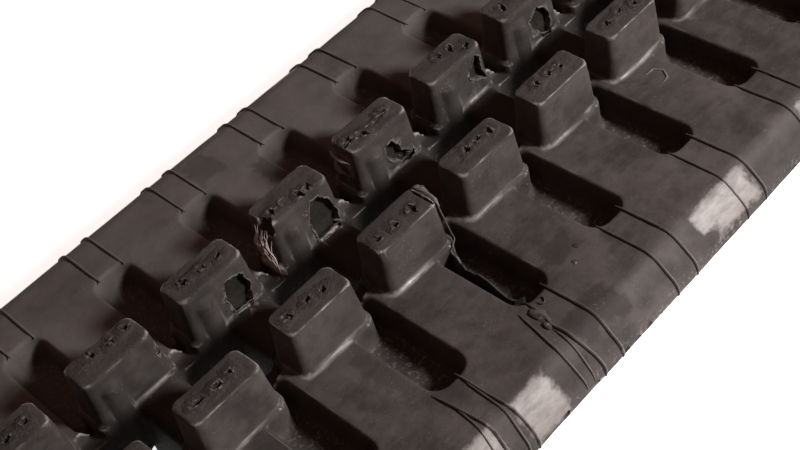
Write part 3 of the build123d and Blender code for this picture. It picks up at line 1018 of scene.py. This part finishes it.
pale = [
    # paler torn rubber, with painted light on strands that face away from the key lamp: centre, half size and
    # how much it shows
    ((-51.4, 21.0, 54.5), (2.4, 6.0, 12.0), 0.9), ((-1.6, 25.5, 59.0), (2.6, 7.0, 5.5), 0.22),
]
smears = [
    # dark smears: centre, half size and how much they show
    ((4.0, -101.0, 45.0), (13.0, 7.0, 8.0), 0.7), ((22.0, -71.0, 45.0), (8.0, 6.0, 3.0), 0.6),
    ((-58.0, -56.0, 45.0), (9.0, 16.0, 2.0), 0.45), ((86.0, -62.0, 45.0), (8.0, 9.0, 2.0), 0.5),
    ((-8.0, 62.0, 45.0), (9.0, 10.0, 2.0), 0.5), ((-30.0, 90.0, 45.0), (7.0, 9.0, 3.0), 0.4),
]


def mouldedRubber():
    made, tree, shader = newFinish("mouldedRubber")
    place, across, level = inMillimetres(tree)
    measures = {"across": across, "level": level, "outwards": calc(tree, "ABSOLUTE", across)}
    smear = calcVector(tree, "MULTIPLY", place, (0.35, 1.0, 1.0))

    def within(name, *masks):
        return product(tree, *[ramp(tree, measures[by], *ends) for by, *ends in zones[name]], *masks)

    def cloud(*values, spot=place):
        # size, cover, softness and detail
        return groupMask(tree, blotches, spot, *values)

    def spots(given, ragged, grain):
        # a mask for each patch, with how much it shows where that is given
        return [(groupMask(tree, raggedPatch, place, centre, half, ragged, grain), *shown)
                for centre, half, *shown in given]

    def uneven(mask, least):
        return ramp(tree, mask, 0.0, 1.0, least, 1.0)

    # the channel between the lug rows and the insides of the pockets get painted shade
    lugTop, channelShade, pocketShade = within("lugTop"), within("channelShade"), within("pocket")
    # painted light: the left lands made paler
    leftLandLight = within("leftLandLight", cloud(40.0, 0.8, 0.25))
    # painted shade over the left lugs' inner sides
    innerSideShade = within("innerSideShade", cloud(12.0, 0.85, 0.3))
    # painted highlight along the bevels' shoulders
    shoulderHighlight = within("shoulderHighlight", cloud(30.0, 0.75, 0.25))
    lines = product(tree, groupMask(tree, scratches, place, (0.07, 0.9, 0.9), 0.012), cloud(20.0, 0.4, 0.1))
    specks = calc(tree, "ADD", product(tree, cloud(0.9, 0.12, 0.03, 2.0), cloud(15.0, 0.35, 0.12)),
                  within("side", cloud(2.0, 0.3, 0.05)), clamp=True)
    # the pale tone on standing edges is polished wear with a painted highlight, and along the concave feet of
    # the lugs it is a painted highlight alone
    foot = within("foot", pointMask(tree, "sunkCorner"))
    rubbedAndHighlit = calc(tree, "MULTIPLY", calc(tree, "MAXIMUM", pointMask(tree, "standingEdge"), foot),
                  uneven(cloud(5.0, 0.6, 0.25), 0.45), clamp=True)
    scuffed = 0.0
    for mask, in spots(scuffs, 0.38, 3.5):
        scuffed = calc(tree, "MAXIMUM", scuffed, mask)
    scuffed = product(tree, scuffed, uneven(cloud(3.0, 0.6, 0.25, spot=smear), 0.6))

    tones = [
        # mask, how much it shows, and its colour, from the bottom up
        (cloud(46.0, 0.5), 1.0, "film"), (cloud(24.0, 0.45, 0.12, 6.0), 0.85, "dark"),
        (cloud(7.0, 0.36, 0.10, 6.0), 0.4, "dark"), (cloud(7.0, 0.35, 0.1, 5.0, spot=smear), 0.35, "film"),
        # painted shade in the channel and the pockets
        (lugTop, 0.35, "dark"), (channelShade, 0.7, "dark"), (pocketShade, 0.3, "dark"),
        # painted shade on the beads, the lip and the left lugs' inner sides, and painted light on the left lands
        (pointMask(tree, "ribShade"), 0.85, "dark"), (leftLandLight, 0.6, "paintedLight"), (innerSideShade, 0.5, "dark"),
        # painted highlight along the bevels' shoulders
        (shoulderHighlight, 0.45, "paintedLight"),
    ]
    tones += [(mask, shown, "dark") for mask, shown in spots(smears, 0.9, 9.0)]
    # scratches, specks and scuffs are the rubber's own marks; the pale edge tone is partly a painted highlight
    tones += [(lines, 0.13, "edge"), (specks, 0.6, "speck"), (rubbedAndHighlit, 0.85, "edge"), (scuffed, 1.0, "scuff")]
    # paler torn rubber with painted light on its strands
    tones += [(mask, shown, "fibre") for mask, shown in spots(pale, 0.35, 1.6)]
    colour = rubber["plain"]
    for mask, shown, tone in tones:
        colour = blendColour(tree, product(tree, mask, shown), colour, rubber[tone])

    rough = blendValue(tree, cloud(24.0, 0.5, 0.2), rubber["roughness"], rubber["cloudRoughness"])
    rough = blendValue(tree, scuffed, rough, rubber["scuffRoughness"])
    rough = blendValue(tree, rubbedAndHighlit, rough, rubber["edgeRoughness"])
    shader.inputs["Specular IOR Level"].default_value = rubber["gloss"]

    crinkle = product(tree, groupMask(tree, scratches, place, (0.28, 0.55, 0.55), 0.035), lugTop)
    scribble = product(tree, noise(tree, place, 0.62, 4.0, 0.6, 2.2), pointMask(tree, "tornSpot"))
    height = 0.0
    for mask, rise in [(noise(tree, place, 1.6, 3.0, 0.6), 0.05), (noise(tree, place, 0.28, 5.0, 0.6), 0.16),
                       (lines, -0.04), (crinkle, -0.16), (specks, 0.06), (scribble, 2.7)]:
        height = calc(tree, "ADD", height, product(tree, mask, rise))
    feed(tree, shader, colour, rough, height)
    return made


# Cast steel of the cores: dark and oily in the torn openings, polished where teeth rub the bar

steel = {"plate": (0.050, 0.045, 0.038, 1), "stain": (0.022, 0.016, 0.013, 1), "bright": (1.0, 0.98, 0.95, 1),
         "plateRoughness": 0.52, "brightRoughness": 0.62, "metal": 0.75, "stained": 0.7, "pitted": 0.22,
         "rubbedFrom": (41.5, 42.5), "rubbedTo": (45.2, 44.6), "rubbedHalf": (15.6, 14.4)}


def castSteel():
    made, tree, shader = newFinish("castSteel")
    place, across, level = inMillimetres(tree)
    polished = product(tree, ramp(tree, level, *steel["rubbedFrom"]), ramp(tree, level, *steel["rubbedTo"]),
                       ramp(tree, calc(tree, "ABSOLUTE", across), *steel["rubbedHalf"]),
                       ramp(tree, groupMask(tree, blotches, place, 1.6, 0.62, 0.08, 3.0), 0.0, 1.0, 0.15, 1.0))
    stained = product(tree, groupMask(tree, blotches, place, 7.0, 0.5), steel["stained"])
    colour = blendColour(tree, stained, steel["plate"], steel["stain"])
    colour = blendColour(tree, polished, colour, steel["bright"])
    rough = blendValue(tree, polished, steel["plateRoughness"], steel["brightRoughness"])
    shader.inputs["Metallic"].default_value = steel["metal"]
    feed(tree, shader, colour, rough, product(tree, noise(tree, place, 1.1, 4.0), steel["pitted"]))
    return made


belt.data.materials.clear()
belt.data.materials.append(mouldedRubber())
coreFinish = castSteel()
for name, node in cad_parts.items():
    if name.startswith("steel_core"):
        node.material_slots[0].material = coreFinish
print("materials made")


# Floor, lamps and camera

floorLook = {"half": 3.0, "colour": (0.9, 0.9, 0.9, 1), "roughness": 0.8, "glow": 0.82}


def layFloor():
    h = floorLook["half"]
    mesh = bpy.data.meshes.new("floor")
    mesh.from_pydata([(-h, -h, 0), (h, -h, 0), (h, h, 0), (-h, h, 0)], [], [(0, 1, 2, 3)])
    paint, tree, shader = newFinish("paleFloor")
    for socket, value in (("Base Color", floorLook["colour"]), ("Roughness", floorLook["roughness"]),
                          ("Emission Color", (1, 1, 1, 1))):
        shader.inputs[socket].default_value = value
    rays = tree.nodes.new("ShaderNodeLightPath").outputs
    seen = calc(tree, "MAXIMUM", calc(tree, "MAXIMUM", rays["Is Camera Ray"], rays["Is Glossy Ray"]),
                rays["Is Transmission Ray"])
    tree.links.new(product(tree, seen, floorLook["glow"]), shader.inputs["Emission Strength"])
    mesh.materials.append(paint)
    floor = addObject("floor", mesh)


lamps = [
    # name, direction from the object, distance, size, watts
    ("key", (0.45, -0.71, 0.54), 1.15, 0.22, 24.3),
    ("back", (0.75, 0.60, 0.22), 1.3, 0.5, 0.3),
]
studio = {"aim": (0, 0, 0.05), "tint": (1, 0.52, 0.40, 1), "strength": 0.21}


def hangLamps():
    aim = Vector(studio["aim"])
    for name, direction, distance, size, watts in lamps:
        light = bpy.data.lights.new(name, "AREA")
        light.shape, light.size, light.energy = "SQUARE", size, watts
        lamp = addObject(name, light)
        lamp.location = aim + Vector(direction).normalized() * distance
        lamp.rotation_mode = "QUATERNION"
        lamp.rotation_quaternion = (aim - lamp.location).to_track_quat("-Z", "Y")
    world = bpy.data.worlds.new("studio")
    bpy.context.scene.world = world
    world.use_nodes = True
    glow = world.node_tree.nodes["Background"].inputs
    glow["Color"].default_value, glow["Strength"].default_value = studio["tint"], studio["strength"]


view = {"place": (-0.2199, -0.3106, 0.4341), "forward": (0.39882, 0.56305, -0.72382),
        "right": (0.67244, -0.71623, -0.18664), "lens": 58.881, "sensor": 36.0, "shift": 0.0043,
        "clip": (0.02, 20)}


def setCamera():
    lens = bpy.data.cameras.new("camera")
    lens.sensor_fit, lens.sensor_width, lens.lens = "HORIZONTAL", view["sensor"], view["lens"]
    lens.clip_start, lens.clip_end = view["clip"]
    lens.shift_x = view["shift"]
    camera = addObject("camera", lens)
    right = Vector(view["right"]).normalized()
    back = -Vector(view["forward"]).normalized()
    up = back.cross(right).normalized()
    right = up.cross(back)
    turn = Matrix((right, up, back)).transposed()
    camera.matrix_world = Matrix.Translation(view["place"]) @ turn.to_4x4()
    bpy.context.scene.camera = camera


layFloor()
hangLamps()
setCamera()
bpy.context.scene.view_settings.view_transform = "Standard"
